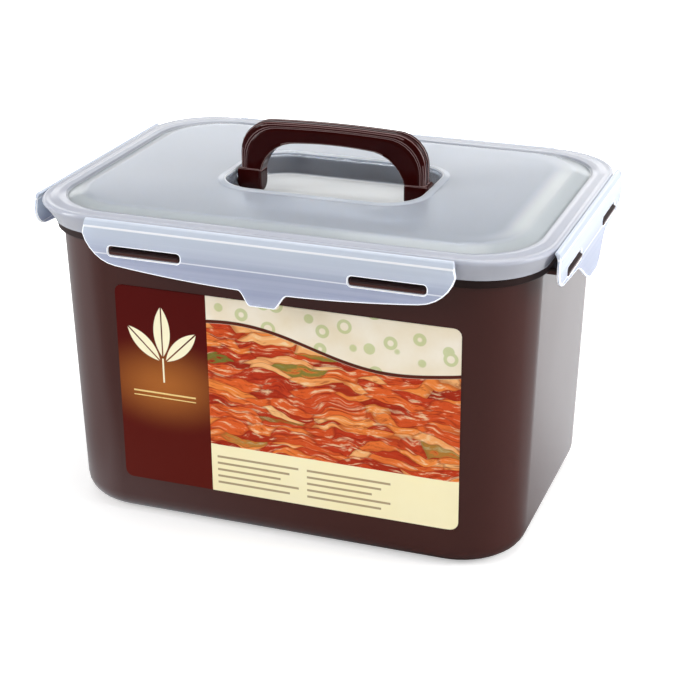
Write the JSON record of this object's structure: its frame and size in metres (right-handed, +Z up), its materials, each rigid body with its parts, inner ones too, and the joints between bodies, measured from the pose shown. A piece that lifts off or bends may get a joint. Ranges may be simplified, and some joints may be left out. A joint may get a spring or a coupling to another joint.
{
  "type": "kimchi container",
  "caption": "Rectangular lidded food keeper: drafted tub, clip-down lid with seal, hinged side latches and a folding bail handle in a well.",
  "frame": {"origin": "middle of the tub's base, on the surface that it stands on", "axes": "+X along the long side, +Y from the labelled front to the back, +Z up"},
  "size_m": [0.3416, 0.2506, 0.2419],
  "materials": {
    "tub": "glossy moulded polypropylene, reddish brown",
    "lid": "translucent bluish white polypropylene",
    "seal": "soft white silicone",
    "latch": "translucent bluish white polypropylene",
    "handle": "glossy dark red-brown polypropylene",
    "label": "printed film, cream ground",
    "label_red": "printed film, dark red",
    "label_orange": "printed film, orange"
  },
  "bodies": {
    "tub": {"tub": "tub", "lid": "lid", "lid_seal": "seal", "front_label": "label", "label_red_panel": "label_red", "label_picture_panel": "label_orange"},
    "front_latch": {"front_latch": "latch"},
    "back_latch": {"back_latch": "latch"},
    "left_latch": {"left_latch": "latch"},
    "right_latch": {"right_latch": "latch"},
    "handle": {"carry_handle": "handle"}
  },
  "joints": [
    {"name": "front_latch_hinge", "type": "hinge", "parent": "tub", "child": "front_latch", "pos_m": [0, -0.1202, 0.204], "axis": [-1, 0, 0], "range_deg": [0, 110]},
    {"name": "back_latch_hinge", "type": "hinge", "parent": "tub", "child": "back_latch", "pos_m": [0, 0.1202, 0.204], "axis": [1, 0, 0], "range_deg": [0, 110]},
    {"name": "right_latch_hinge", "type": "hinge", "parent": "tub", "child": "right_latch", "pos_m": [0.1657, 0, 0.204], "axis": [0, -1, 0], "range_deg": [0, 110]},
    {"name": "left_latch_hinge", "type": "hinge", "parent": "tub", "child": "left_latch", "pos_m": [-0.1657, 0, 0.204], "axis": [0, 1, 0], "range_deg": [0, 110]},
    {"name": "handle_fold", "type": "hinge", "parent": "tub", "child": "handle", "pos_m": [0, 0, 0.1999], "axis": [1, 0, 0], "range_deg": [-88, 88]}
  ]
}
